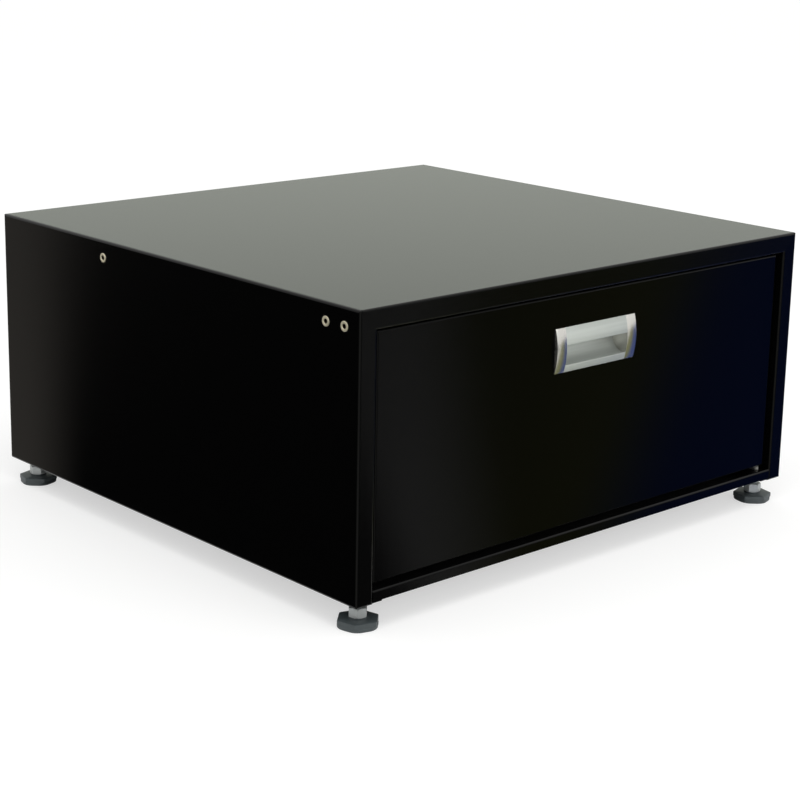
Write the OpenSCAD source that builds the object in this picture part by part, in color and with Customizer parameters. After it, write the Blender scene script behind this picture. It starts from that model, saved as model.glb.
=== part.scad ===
// Steel pedestal that lifts a front-loading washer, with one drawer on telescopic slides.
// Millimetres, +Z up. The front faces -Y and the width runs along X.
// The origin is on the floor, in the middle of the pedestal's footprint.

/* [Cabinet] */
// Width over the side panels
body_w = 686; // [600:1:800]
// Depth from the stile faces to the back panel
body_d = 653; // [620:1:800]
// Height of the cabinet without its feet
body_h = 305; // [290:1:420]
// Height of the cabinet's underside above the floor
ground = 29; // [27:1:34]
// Thickness of the side, back and drawer sheets
sheet = 1.2; // [0.8:0.1:1.6]
// Thickness of the top sheet
top_sheet = 1.5; // [1:0.1:2]
// Outer radius of the cabinet's bent edges
bend_r = 2.5; // [2:0.1:3]
// Radius of the corner at the bottom rear
heel_r = 3; // [2:0.1:3.2]
// Width of the inward flange under the top sheet
top_flange = 20; // [12:1:30]
// Width of the inward flange along the underside
bottom_flange = 22; // [16:1:26]
// Width of the flange that the back panel is screwed to
rear_flange = 20; // [14:1:26]

/* [Face frame] */
// Width of the stiles at the sides of the opening
stile_w = 22; // [20:0.5:30]
// Depth of the stiles' return into the cabinet
stile_return = 14; // [8:1:15]
// Height of the rail over the opening
rail_h = 22; // [20:0.5:30]
// Depth of the rail's return into the cabinet
rail_return = 20; // [10:1:26]
// Height of the sill's front face
sill_h = 11.5; // [9:0.5:16]
// Height of the sill's lower edge above the stiles' ends
sill_raise = 3; // [0:0.5:5]
// Depth of the sill
sill_d = 21; // [18:1:26]
// Outer radius of the bends along the opening
lip_r = 2.5; // [1.6:0.1:3]

/* [Frame inside] */
// Width of a hat stiffener's web
hat_w = 40; // [25:1:60]
// Height of a hat stiffener
hat_h = 18; // [10:0.5:20]
// Width of a hat stiffener's feet
hat_foot = 12; // [8:1:20]
// Thickness of the hat stiffeners
hat_t = 1.5; // [1:0.1:2]
// Height of the rear cross rail
cross_h = 25; // [15:1:40]
// Depth of the rear cross rail
cross_d = 16; // [10:1:16]
// Thickness of the tapped foot plates
plate_t = 8; // [6:0.5:9]
// Reach of a foot plate past the stud's centre
plate_reach = 13; // [11:0.5:14]

/* [Feet] */
// Distance of the feet from the side faces
foot_side = 22.5; // [22.5:0.5:24]
// Distance of the front feet from the front face
foot_front = 23; // [22.5:0.5:24]
// Distance of the rear feet from the back panel
foot_rear = 26; // [24:0.5:34]
// Diameter of a pad's round rim
pad_dia = 45; // [42:0.5:45]
// Height of a pad's round rim
pad_rim_h = 3; // [2:0.5:4]
// Width across flats of a pad's hexagon
pad_flats = 38; // [34:0.5:38.5]
// Height of the hexagon's upright faces
pad_hex_h = 3.6; // [2:0.1:5]
// Height of the slope above them
pad_slope_h = 2.8; // [2:0.1:4]
// Height of the round boss on a pad
pad_boss_h = 1; // [0.5:0.1:2]
// Diameter of the stud's thread
stud_dia = 12; // [10:1:12]
// Pitch of the stud's thread
pitch = 1.75; // [1.5:0.25:2]
// Width across flats of the stud's hexagon
hex_flats = 18; // [16:1:19]
// Height of the stud's hexagon
hex_h = 10.2; // [8:0.1:11]
// Length of thread above the hexagon
thread_len = 26.8; // [24:0.1:27]

/* [Drawer] */
// Depth of the drawer front behind the stile faces
recess = 6; // [2:0.5:10]
// Gap between the drawer front and each stile
gap_side = 5.7; // [3:0.1:8]
// Gap between the drawer front and the rail
gap_top = 3; // [3:0.5:10]
// Gap between the drawer front and the sill
gap_bottom = 5.5; // [4.5:0.5:12]
// Depth of the drawer front's folded edge
pan_d = 22; // [21.5:0.5:26]
// Outer radius of the drawer front's bent edges
pan_r = 1.8; // [1.3:0.1:3]
// Height of the drawer box above the drawer front's lower edge
box_lift = 10; // [6:1:20]
// Height of the drawer box
box_h = 200; // [150:1:210]
// Length of the drawer box past the slides' rear ends
box_past = 3.5; // [0:0.5:10]
// Width of the drawer box's flanges
box_flange = 14; // [12:1:20]

/* [Slides] */
// Room that a slide takes between cabinet and drawer
slide_t = 12.7; // [12.5:0.1:13]
// Height of a slide
slide_h = 45.4; // [44:0.2:50]
// Room between the slides' rear ends and the back panel
slide_room = 62.5; // [58:0.5:100]
// Height of the slides' centre line above the drawer front's lower edge
slide_z = 98; // [60:1:130]
// Thickness of the slide members
slide_sheet = 1.3; // [1:0.1:1.4]
// Diameter of the slide balls
ball_dia = 3.2; // [3:0.1:3.3]
// Height of the rails that carry the slides
carrier_h = 60; // [50:1:80]
// Width of those rails' feet on the side panels
carrier_foot = 12; // [8:1:16]
// Length of a ball cage
cage_len = 280; // [200:5:300]
// Balls along one strip of a cage
balls_in_row = 5; // [2:1:8]

/* [Pull] */
// Width of the pull over its end caps
pull_w = 126; // [110:1:160]
// Height of the pull
pull_h = 49.5; // [44:0.5:50]
// Height that the pull's face stands out in the middle
pull_bulge = 4.5; // [3:0.1:5.5]
// Height that its rim stands out
pull_rim = 0.8; // [0.5:0.1:1.5]
// Distance of the pull's centre below the cabinet's top
pull_drop = 85; // [80:1:120]
// Width of an end cap
cap_w = 14.5; // [13:0.5:20]
// Height of the upper lip
upper_lip = 19; // [12:0.5:22]
// Height of the lower lip
lower_lip = 8; // [6:0.5:11]
// Wall of the aluminium profile
pull_wall = 1.6; // [1.2:0.1:2]
// Depth of the finger cup behind the drawer front's face
cup_d = 20; // [18:0.5:20]
// Radius of the finger cup
cup_r = 21.5; // [20:0.5:22]

/* [Fasteners] */
// Diameter of a rivet nut's flange
nut_flange = 12.2; // [11:0.1:14]
// Thickness of a rivet nut's flange
nut_flange_t = 0.8; // [0.5:0.1:1.5]
// Diameter of a rivet nut's body
nut_body = 9; // [8:0.1:9.5]
// Radius of a rivet nut's threaded bore
nut_bore_r = 2.5; // [2.1:0.05:2.6]
// Length of a rivet nut from its seat
nut_len = 15; // [10:0.5:18]
// Distance of the rivet nuts below the top
nut_drop = 19.5; // [18:0.5:24]
// Distance of the first rivet nut from the front
nut_front = 23; // [22:1:30]
// Distance of the second rivet nut from the front
nut_second = 51; // [40:1:90]
// Distance of the third rivet nut from the front
nut_third = 440; // [380:1:500]
// Shank radius of the small screws
screw_r = 1.95; // [1.4:0.05:2]
// Head radius of the small screws
head_r = 3.8; // [3:0.1:4.5]
// Head height of the small screws
head_h = 2; // [1.5:0.1:2.6]
// Diameter of the bumper's head
bumper_dia = 5; // [4:0.5:6]
// Height of the bumper's head
bumper_h = 3.1; // [2:0.1:3.4]
// Distance of the bumper from the side face
bumper_side = 34; // [34:1:60]

/* [Hidden] */

$fn = 64;
over = 1;            // cutters run this far past what they cut
fit = 0.05;          // radial clearance of a running fit
seam = 0.5;          // visible seam between two sheets
rest_gap = 0.3;      // gap under a part that slides over another

// Cabinet planes
x_out = body_w / 2;
y_front = -(body_d + head_h) / 2;
y_back = y_front + body_d;
z_bot = ground;
z_top = ground + body_h;
z_under_top = z_top - top_sheet;
land = bend_r + 0.5;         // strip of side panel beside the top sheet
flange_tip = land - sheet + top_flange;
rear_tip = land - sheet + rear_flange;

// Sill
sill_z0 = z_bot + sill_raise;
sill_z1 = sill_z0 + sill_h;
sill_leg_h = 9;              // height of the sill's rear leg
sill_notch = 9;              // flange cut back beside the studs
sill_leg_notch = 16;         // rear leg cut back over the foot plates

// Foot plates and studs
plate_z0 = z_bot + sheet;
plate_z1 = plate_z0 + plate_t;
stud_hole_r = stud_dia / 2 + 1;
pad_top = pad_rim_h + pad_hex_h + pad_slope_h + pad_boss_h;
hex_z0 = pad_top + rest_gap;
hex_z1 = hex_z0 + hex_h;
stud_z1 = hex_z1 + thread_len;
stud_neck_r = stud_dia / 2 - 1;
stud_disc_r = 7;             // disc at the stud's foot, held in the pad
stud_disc_z0 = 4;
stud_cover = 2.4;            // thickness of the pad over that disc
stud_disc_z1 = pad_top - stud_cover;
pad_top_flats = 23;          // width across flats where the slope ends
pad_boss_r = 10;
pad_edge_r = 0.4;
root_depth = 0.6 * pitch;    // depth of the thread

// Drawer
pan_hx = x_out - stile_w - gap_side;
pan_y0 = y_front + recess;
pan_y1 = pan_y0 + pan_d;
pan_z0 = sill_z1 + gap_bottom;
pan_z1 = z_top - rail_h - gap_top;
box_hx = x_out - stile_w - slide_t;
box_z0 = pan_z0 + box_lift;
box_z1 = box_z0 + box_h;
slide_zc = pan_z0 + slide_z;
pan_play = 2.5;              // gap between the folded edge of the front and the slides
slide_y0 = pan_y1 + pan_play;
slide_y1 = y_back - slide_room;
slide_len = slide_y1 - slide_y0;
box_y1 = slide_y1 + box_past;
box_screw_heights = [0.12, 0.5, 0.88];     // along the box's height
slide_screw_places = [0.06, 0.5, 0.94];    // along a slide
hat_places = [0.2, 0.5, 0.8];              // along the cabinet's depth

// Slide section, distances from the carrier's face (u) and from the centre line (w)
race_gap = ball_dia + 0.3;   // room between two races
outer_u1 = slide_t - 1.7;
middle_u1 = slide_t - 1.8;
carrier_gap = 2;             // gap between a carrier and the stile's return
carrier_past = 6;            // length of a carrier past the slide's rear end
outer_w = slide_h / 2 - slide_sheet;
middle_w1 = outer_w - race_gap;
middle_w0 = middle_w1 - slide_sheet;
inner_w1 = middle_w0 - race_gap;
inner_w0 = inner_w1 - slide_sheet;
middle_u0 = slide_sheet + 1.7;
cage_t = 1.1;                // thickness of a cage strip
cage_web = 0.8;              // thickness of a cage's web
outer_cage_u0 = slide_sheet + 0.4;
inner_cage_u0 = middle_u0 + slide_sheet + 0.4;
inner_u0 = inner_cage_u0 + cage_web + 0.5;
cage_y0 = slide_y0 + (slide_len - cage_len) / 2;
pocket_r = ball_dia / 2 + 0.1;

// Pull, centred on the drawer front's face
pull_z = z_top - pull_drop;
pull_rise = pull_bulge - pull_rim;
face_r = (pow(pull_h / 2, 2) + pow(pull_rise, 2)) / (2 * pull_rise);
pull_hx = pull_w / 2;
profile_hx = pull_hx - cap_w;
cup_cy = cup_d - cup_r;
cup_cz = 1.75;               // the cup's centre above the pull's centre
cup_overlap = 0.4;           // the cup runs into the face by this much
face_wall = 1.8;             // thickness of the face's lips and caps
cap_wall = 1.6;
hole_play = 0.5;             // room round the cup in the drawer front
pull_screw_x = profile_hx + cap_w * 0.6;
boss_r = 4;
pull_screw_short = 2;        // the screws end this far behind the face's highest point

// ---------- shared shapes ----------

// Outside of a rounded corner at (cx, cy), which points towards (sx, sy)
module corner_cut(cx, cy, sx, sy, r) {
    translate([cx - sx * r, cy - sy * r]) difference() {
        translate([sx > 0 ? 0 : -r - over, sy > 0 ? 0 : -r - over]) square(r + over);
        circle(r);
    }
}

// Filler inside a bend whose inner corner is at (cx, cy), opening towards (sx, sy)
module bend_fill(cx, cy, sx, sy, r) {
    translate([cx, cy]) difference() {
        translate([sx > 0 ? 0 : -r, sy > 0 ? 0 : -r]) square(r);
        translate([sx * r, sy * r]) circle(r);
    }
}

// Rectangle from (x0, y0) to (x1, y1)
module rect(x0, y0, x1, y1) {
    translate([x0, y0]) square([x1 - x0, y1 - y0]);
}

// Block from one corner to the other
module block(low, high) {
    translate(low) cube(high - low);
}

// Extrudes a plan (y, z) along X from x0 to x1
module along_x(x0, x1) {
    translate([x0, 0, 0]) rotate([90, 0, 90]) linear_extrude(x1 - x0) children();
}

// Extrudes a plan (x, z) along Y from y0 to y1
module along_y(y0, y1) {
    translate([0, y1, 0]) rotate([90, 0, 0]) linear_extrude(y1 - y0) children();
}

// Extrudes a plan (x, y) along Z from z0 to z1
module along_z(z0, z1) {
    translate([0, 0, z0]) linear_extrude(z1 - z0) children();
}

// Cylinder along Y from y0 to y1
module rod_y(x, y0, y1, z, r) {
    translate([x, y1, z]) rotate([90, 0, 0]) cylinder(r = r, h = y1 - y0);
}

// Cylinder along X from x0 to x1
module rod_x(x0, x1, y, z, r) {
    translate([x0, y, z]) rotate([0, 90, 0]) cylinder(r = r, h = x1 - x0);
}

module on_right() {
    mirror([1, 0, 0]) children();
}

// ---------- cabinet shell ----------

// Outer form of the welded shell, with all its bent edges
module shell_form() {
    intersection() {
        along_y(y_front - over, y_back + over) difference() {
            rect(-x_out, z_bot, x_out, z_top);
            for (s = [-1, 1]) {
                corner_cut(s * x_out, z_top, s, 1, bend_r);
                corner_cut(s * x_out, z_bot, s, -1, bend_r);
            }
        }
        along_z(z_bot - over, z_top + over) difference() {
            rect(-x_out, y_front, x_out, y_back);
            for (s = [-1, 1]) {
                corner_cut(s * x_out, y_front, s, -1, bend_r);
                corner_cut(s * x_out, y_back, s, 1, bend_r);
            }
        }
        along_x(-x_out - over, x_out + over) difference() {
            rect(y_front, z_bot, y_back, z_top);
            corner_cut(y_front, z_top, -1, 1, bend_r);
            corner_cut(y_back, z_top, 1, 1, bend_r);
            corner_cut(y_front, z_bot, -1, -1, lip_r);
            corner_cut(y_back, z_bot, 1, -1, heel_r);
        }
    }
}

// Part of the front above the mitre from the outer top corner, left side
module above_mitre() {
    along_y(y_front - over, y_front + rail_return + over) polygon([
        [-x_out + land, z_top + over],
        [-x_out + land, z_top - land],
        [-x_out + stile_w + over, z_top - stile_w - over],
        [-x_out + stile_w + over, z_top + over]
    ]);
}

// Part of the front below that mitre, left side
module below_mitre() {
    along_y(y_front - over, y_front + rail_return + over) polygon([
        [-x_out - over, z_top + over],
        [-x_out + stile_w + over, z_top - stile_w - over],
        [-x_out - over, z_top - stile_w - over]
    ]);
}

module stile() {
    difference() {
        along_z(z_bot, z_top) translate([-x_out, y_front]) difference() {
            union() {
                rect(0, 0, stile_w, sheet);
                rect(stile_w - sheet, 0, stile_w, stile_return);
                bend_fill(sheet, sheet, 1, 1, bend_r - sheet);
                bend_fill(stile_w - sheet, sheet, -1, 1, lip_r - sheet);
            }
            corner_cut(stile_w, 0, 1, -1, lip_r);
        }
        above_mitre();
        // the return stands on the foot plate
        block([-x_out + sheet, y_front + sheet, z_bot - over],
              [-x_out + stile_w + over, y_front + stile_return + over, plate_z1]);
    }
}

module side_walls() {
    // wall, with the bent strip beside the top sheet
    along_y(y_front, y_back) translate([-x_out, 0]) {
        rect(0, z_bot, sheet, z_top);
        rect(0, z_top - sheet, land, z_top);
        rect(land - sheet, z_under_top - sheet, land, z_top);
        bend_fill(sheet, z_top - sheet, 1, -1, bend_r - sheet);
        rect(0, z_bot, bottom_flange, z_bot + sheet);
        bend_fill(sheet, z_bot + sheet, 1, 1, bend_r - sheet);
    }
    // flange under the top sheet
    block([-x_out + land - sheet, y_front + bend_r + seam, z_under_top - sheet],
          [-x_out + flange_tip, y_back - sheet - top_sheet - seam, z_under_top]);
    // stepped flange behind the back panel
    along_z(z_bot, z_top) translate([-x_out, y_back]) {
        rect(0, -sheet, land, 0);
        rect(land - sheet, -2 * sheet, land, 0);
    }
    block([-x_out + land - sheet, y_back - 2 * sheet, z_bot],
          [-x_out + rear_tip, y_back - sheet, z_top - land - seam]);
}

module side_panel() {
    color("#15161a") difference() {
        intersection() {
            union() {
                side_walls();
                stile();
            }
            shell_form();
        }
        for (y = foot_rows()) translate([-x_out + foot_side, y, z_bot - over])
            cylinder(r = stud_hole_r, h = sheet + 2 * over);
        for (y = nut_rows()) rod_x(-x_out - over, -x_out + sheet + over, y, z_top - nut_drop, nut_body / 2);
        for (z = back_screw_heights())
            rod_y(-x_out + rear_screw_u, y_back - 3 * sheet, y_back, z, screw_r + fit);
    }
}

module top_section() {
    translate([y_front, 0]) difference() {
        union() {
            rect(0, z_under_top, body_d, z_top);
            rect(0, z_top - rail_h, top_sheet, z_top);
            rect(0, z_top - rail_h, rail_return, z_top - rail_h + top_sheet);
            bend_fill(top_sheet, z_under_top, 1, -1, bend_r - top_sheet);
            rect(body_d - top_sheet, z_top - land, body_d, z_top);
            rect(body_d - sheet - top_sheet, z_top - land, body_d, z_top - land + top_sheet);
        }
        corner_cut(0, z_top - rail_h, -1, -1, lip_r);
    }
}

module top_panel() {
    half = x_out - land - seam;
    lip_half = x_out - rear_tip - seam;
    color("#1a1b1e") difference() {
        intersection() {
            union() {
                along_x(-half, half) top_section();
                // lip that the back panel is screwed to
                block([-lip_half, y_back - sheet - top_sheet, z_top - land - rear_flange],
                      [lip_half, y_back - sheet, z_top - land + top_sheet]);
            }
            shell_form();
        }
        below_mitre();
        on_right() below_mitre();
        rod_y(0, y_back - sheet - top_sheet - over, y_back, back_top_screw_z, screw_r + fit);
    }
}

module front_sill() {
    half = x_out - stile_w;
    color("#15161a") difference() {
        along_x(-half, half) translate([y_front, 0]) difference() {
            union() {
                rect(0, sill_z0, sheet, sill_z1);
                rect(0, sill_z1 - sheet, sill_d, sill_z1);
                rect(sill_d - sheet, sill_z1 - sill_leg_h, sill_d, sill_z1);
                bend_fill(sheet, sill_z1 - sheet, 1, -1, lip_r - sheet);
                bend_fill(sill_d - sheet, sill_z1 - sheet, -1, -1, lip_r - sheet);
            }
            corner_cut(0, sill_z1, -1, 1, lip_r);
            corner_cut(sill_d, sill_z1, 1, 1, lip_r);
        }
        for (k = [0, 1]) mirror([k, 0, 0]) {
            // cut back beside the studs and over the foot plates
            block([half - sill_notch, y_front + stile_return, sill_z0],
                  [half + over, y_front + sill_d + over, sill_z1 + over]);
            block([half - sill_leg_notch, y_front + sill_d - sheet, sill_z0],
                  [half + over, y_front + sill_d + over, sill_z1 - sheet]);
        }
        translate([bumper_x, bumper_y, sill_z1 - sheet - over])
            cylinder(r = bumper_stem_r + fit, h = sheet + 2 * over);
    }
}

// ---------- back panel and inner frame ----------

rear_screw_u = land - sheet + rear_flange / 2;   // screw line from the side face
back_screw_end = 14;                             // screw distance from the panel's ends
back_screw_low = 20;                             // upper screws this much lower still
back_screw_up = 3;                               // lower middle screw over the cross rail's middle
back_screw_len = 9;
back_top_screw_z = z_top - land - rear_flange / 2;
function back_screw_heights() = [z_bot + cross_h + plate_t + back_screw_end,
                                 (z_bot + z_top) / 2,
                                 z_top - land - back_screw_end - back_screw_low];
function back_screw_places() = concat(
    [for (s = [-1, 1], z = back_screw_heights()) [s * (x_out - rear_screw_u), z]],
    [[0, back_top_screw_z], [0, plate_z1 + cross_h / 2 + back_screw_up]]);
function foot_rows() = [y_front + foot_front, y_back - foot_rear];
function nut_rows() = [y_front + nut_front, y_front + nut_second, y_front + nut_third];

module back_panel() {
    half = x_out - land - seam;
    color("#1a1b1e") difference() {
        block([-half, y_back - sheet, z_bot + sill_raise], [half, y_back, z_top - land - seam]);
        for (p = back_screw_places())
            rod_y(p[0], y_back - sheet - over, y_back + over, p[1], screw_r + 3 * fit);
    }
}

module back_screws() {
    color("#3a3a3c") for (p = back_screw_places()) pan_screw(p[0], y_back, p[1], back_screw_len);
}

// Pan-head screw along Y: the head stands on plane y and points to the rear
module pan_screw(x, y, z, len) {
    translate([x, y, z]) rotate([-90, 0, 0]) difference() {
        union() {
            translate([0, 0, -len]) cylinder(r = screw_r, h = len);
            rotate_extrude() difference() {
                rect(0, 0, head_r, head_h);
                corner_cut(head_r, head_h, 1, 1, head_h * 0.6);
            }
        }
        translate([0, 0, head_h * 0.45]) for (a = [0, 90]) rotate(a)
            translate([-head_r * 0.6, -0.4, 0]) cube([head_r * 1.2, 0.8, head_h]);
    }
}

module rear_cross_rail() {
    half = x_out - bend_r;
    y1 = y_back - 2 * sheet;
    color("#1a1b1e") difference() {
        union() {
            block([-half, y1 - sheet, plate_z1], [half, y1, plate_z1 + cross_h]);
            block([-half, y1 - cross_d, plate_z1], [half, y1, plate_z1 + sheet]);
        }
        rod_y(0, y1 - sheet - over, y1 + over, back_screw_places()[7][1], screw_r + fit);
    }
}

// Hat-section stiffener under the top, at place k
module top_hat(k) {
    half = x_out - flange_tip - seam;
    color("#1f2023") along_x(-half, half) translate([y_front + body_d * hat_places[k], z_under_top]) {
        for (side = [0, 1]) mirror([side, 0]) {
            rect(hat_w / 2 - hat_t, -hat_t, hat_w / 2 + hat_foot, 0);
            rect(hat_w / 2 - hat_t, -hat_h, hat_w / 2, 0);
        }
        rect(-hat_w / 2, -hat_h, hat_w / 2, hat_t - hat_h);
    }
}

// Tapped plate in a bottom corner, on the left; row 0 is the front
module foot_plate(row) {
    x0 = -x_out + bend_r;
    x1 = -x_out + foot_side + plate_reach;
    y = foot_rows()[row];
    y0 = row == 0 ? y_front + sheet : y - plate_reach;
    y1 = row == 0 ? y + plate_reach : y_back - 2 * sheet;
    color("#242528") difference() {
        block([x0, y0, plate_z0], [x1, y1, plate_z1]);
        translate([-x_out + foot_side, y, plate_z0 - over])
            cylinder(r = stud_dia / 2, h = plate_t + 2 * over);
    }
}

// Hat channel that brings the slide flush with the stile, on the left
module slide_carrier() {
    y0 = y_front + stile_return + carrier_gap;
    y1 = slide_y1 + carrier_past;
    half_h = carrier_h / 2;
    color("#1f2023") difference() {
        along_y(y0, y1) translate([-x_out, slide_zc]) {
            rect(stile_w - sheet, -half_h, stile_w, half_h);
            for (k = [0, 1]) mirror([0, k]) {
                rect(sheet, half_h - sheet, stile_w, half_h);
                rect(sheet, half_h - sheet, 2 * sheet, half_h + carrier_foot);
            }
        }
        for (y = slide_screw_rows())
            rod_x(-x_out + stile_w - sheet - over, -x_out + stile_w + over, y, slide_zc, screw_r + fit);
    }
}

// M6 rivet nut in the left side panel, its flange outside
module rivet_nut(y) {
    translate([-x_out, y, z_top - nut_drop]) rotate([0, 90, 0]) color("#c9a45a") difference() {
        union() {
            rotate_extrude() difference() {
                rect(0, -nut_flange_t, nut_flange / 2, 0);
                corner_cut(nut_flange / 2, -nut_flange_t, 1, -1, nut_flange_t * 0.7);
            }
            cylinder(r = nut_body / 2 - fit, h = nut_len);
            // bulge that clamps the sheet from inside
            translate([0, 0, sheet]) cylinder(r = nut_body / 2 + 1, h = 2.5);
        }
        translate([0, 0, -nut_flange_t - over])
            cylinder(r = nut_bore_r, h = nut_len + nut_flange_t + 2 * over);
    }
}

module rivet_nuts() {
    for (y = nut_rows()) rivet_nut(y);
}

bumper_x = x_out - bumper_side;
bumper_in = 4.5;             // distance behind the drawer front's face, under its folded edge
bumper_y = pan_y0 + bumper_in;
bumper_stem_r = 1.5;
bumper_stem = 3;             // length of the stem below the sheet

// Nylon bumper near the sill's right end, under the drawer front
module sill_bumper() {
    color("#f0efe8") translate([bumper_x, bumper_y, 0]) {
        rotate_extrude() difference() {
            rect(0, sill_z1, bumper_dia / 2, sill_z1 + bumper_h);
            corner_cut(bumper_dia / 2, sill_z1 + bumper_h, 1, 1, bumper_dia / 4);
        }
        translate([0, 0, sill_z1 - sheet - bumper_stem])
            cylinder(r = bumper_stem_r, h = sheet + bumper_stem);
    }
}

// ---------- slides, modelled on the left ----------

function slide_screw_rows() = [for (k = slide_screw_places) slide_y0 + k * slide_len];
carrier_x = -x_out + stile_w;

// Countersunk hole or head in a member's web, narrow end towards -X
module countersink(u, y, play) {
    translate([carrier_x + u, y, slide_zc]) rotate([0, 90, 0])
        cylinder(r1 = screw_r + play, r2 = head_r + play, h = slide_sheet);
}

module slide_outer() {
    color("#c4c7ca") difference() {
        along_y(slide_y0, slide_y1) translate([carrier_x, slide_zc]) {
            rect(0, -slide_h / 2, slide_sheet, slide_h / 2);
            rect(0, outer_w, outer_u1, slide_h / 2);
            rect(0, -slide_h / 2, outer_u1, -outer_w);
        }
        for (y = slide_screw_rows()) countersink(0, y, fit);
    }
}

module slide_middle() {
    color("#b9bcc0") along_y(slide_y0, slide_y1) translate([carrier_x, slide_zc]) {
        rect(middle_u0, -middle_w1, middle_u0 + slide_sheet, middle_w1);
        rect(middle_u0, middle_w0, middle_u1, middle_w1);
        rect(middle_u0, -middle_w1, middle_u1, -middle_w0);
    }
}

module slide_inner() {
    color("#c4c7ca") difference() {
        along_y(slide_y0, slide_y1) translate([carrier_x, slide_zc]) {
            rect(slide_t - slide_sheet, -inner_w1, slide_t, inner_w1);
            rect(inner_u0, inner_w0, slide_t, inner_w1);
            rect(inner_u0, -inner_w1, slide_t, -inner_w0);
        }
        for (y = slide_screw_rows()) translate([carrier_x + slide_t, y, slide_zc]) rotate([0, -90, 0])
            cylinder(r1 = screw_r + fit, r2 = head_r + fit, h = slide_sheet);
    }
}

// Ball cage: a web and two strips with pockets, between the races at w0 and w1
module cage(u0, u1, w0, w1) {
    mid = (w0 + w1) / 2;
    color("#d8d9da") difference() {
        along_y(cage_y0, cage_y0 + cage_len) translate([carrier_x, slide_zc]) {
            rect(u0, -mid, u0 + cage_web, mid);
            rect(u0, mid - cage_t / 2, u1, mid + cage_t / 2);
            rect(u0, -mid - cage_t / 2, u1, cage_t / 2 - mid);
        }
        at_balls(u0, u1, mid) cylinder(r = pocket_r, h = 3 * cage_t, center = true);
    }
}

module balls(u0, u1, w0, w1) {
    color("#e3e5e7") at_balls(u0, u1, (w0 + w1) / 2) sphere(d = ball_dia);
}

module at_balls(u0, u1, mid) {
    for (s = [-1, 1], k = [0 : balls_in_row - 1])
        translate([carrier_x + (u0 + cage_web + u1) / 2,
                   cage_y0 + cage_len * (k + 0.5) / balls_in_row, slide_zc + s * mid]) children();
}

outer_cage_u1 = slide_t - 2.9;
inner_cage_u1 = slide_t - 1.9;

module outer_cage() { cage(outer_cage_u0, outer_cage_u1, middle_w1, outer_w); }
module outer_balls() { balls(outer_cage_u0, outer_cage_u1, middle_w1, outer_w); }
module inner_cage() { cage(inner_cage_u0, inner_cage_u1, inner_w1, middle_w0); }
module inner_balls() { balls(inner_cage_u0, inner_cage_u1, inner_w1, middle_w0); }

carrier_screw_len = 6;
runner_screw_len = 4;

// Screws that hold the outer members to their carriers
module carrier_screws() {
    color("#9a9c9f") for (s = [0, 1], y = slide_screw_rows()) mirror([s, 0, 0]) {
        countersink(0, y, 0);
        rod_x(carrier_x - carrier_screw_len, carrier_x, y, slide_zc, screw_r);
    }
}

// Screws that hold the inner members to the drawer's sides
module runner_screws() {
    color("#9a9c9f") for (s = [0, 1], y = slide_screw_rows()) mirror([s, 0, 0]) {
        translate([carrier_x + slide_t, y, slide_zc]) rotate([0, -90, 0])
            cylinder(r1 = screw_r, r2 = head_r, h = slide_sheet);
        rod_x(carrier_x + slide_t, carrier_x + slide_t + runner_screw_len, y, slide_zc, screw_r);
    }
}

// ---------- drawer ----------

module drawer_front() {
    color("#121316") difference() {
        intersection() {
            along_x(-pan_hx, pan_hx) difference() {
                rect(pan_y0, pan_z0, pan_y1, pan_z1);
                corner_cut(pan_y0, pan_z0, -1, -1, pan_r);
                corner_cut(pan_y0, pan_z1, -1, 1, pan_r);
            }
            along_z(pan_z0, pan_z1) difference() {
                rect(-pan_hx, pan_y0, pan_hx, pan_y1);
                corner_cut(-pan_hx, pan_y0, -1, -1, pan_r);
                corner_cut(pan_hx, pan_y0, 1, -1, pan_r);
            }
        }
        block([sheet - pan_hx, pan_y0 + sheet, pan_z0 + sheet],
              [pan_hx - sheet, pan_y1 + over, pan_z1 - sheet]);
        // opening for the pull's cup and its end walls
        block([-profile_hx - cap_wall - hole_play, pan_y0 - over, pull_z + cup_cz - cup_r - hole_play],
              [profile_hx + cap_wall + hole_play, pan_y0 + sheet + over, pull_z + cup_cz + cup_r + hole_play]);
        for (s = [-1, 1])
            rod_y(s * pull_screw_x, pan_y0 - over, pan_y0 + sheet + over, pull_z, screw_r + 3 * fit);
    }
}

function box_screw_rows() = [for (k = box_screw_heights) box_z0 + k * box_h];
box_screw_x = box_hx - sheet - box_flange / 2;
box_screw_len = 6;

module drawer_liner() {
    color("#16171a") difference() {
        block([sheet - pan_hx, pan_y1 - sheet, pan_z0 + sheet], [pan_hx - sheet, pan_y1, pan_z1 - sheet]);
        for (s = [-1, 1], z = box_screw_rows())
            rod_y(s * box_screw_x, pan_y1 - sheet - over, pan_y1 + over, z, screw_r + fit);
    }
}

module drawer_side() {
    color("#17181b") difference() {
        union() {
            block([-box_hx, pan_y1, box_z0], [sheet - box_hx, box_y1, box_z1]);
            block([-box_hx, pan_y1, box_z0], [sheet + box_flange - box_hx, box_y1, box_z0 + sheet]);
            block([-box_hx, pan_y1, box_z1 - sheet], [sheet + box_flange - box_hx, box_y1, box_z1]);
            block([-box_hx, pan_y1, box_z0], [sheet + box_flange - box_hx, pan_y1 + sheet, box_z1]);
        }
        for (z = box_screw_rows())
            rod_y(-box_screw_x, pan_y1 - over, pan_y1 + sheet + over, z, screw_r + 3 * fit);
        for (y = slide_screw_rows())
            rod_x(-box_hx - over, sheet - box_hx + over, y, slide_zc, screw_r + fit);
    }
}

module drawer_back() {
    half = box_hx - sheet;
    z0 = box_z0 + 2 * sheet;
    z1 = box_z1 - sheet;
    color("#17181b") {
        block([-half, box_y1 - sheet, z0], [half, box_y1, z1]);
        for (s = [0, 1]) mirror([s, 0, 0])
            block([-half, box_y1 - box_flange, z0], [sheet - half, box_y1, z1]);
        block([box_flange - half, box_y1 - box_flange, z1 - sheet], [half - box_flange, box_y1, z1]);
    }
}

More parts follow.
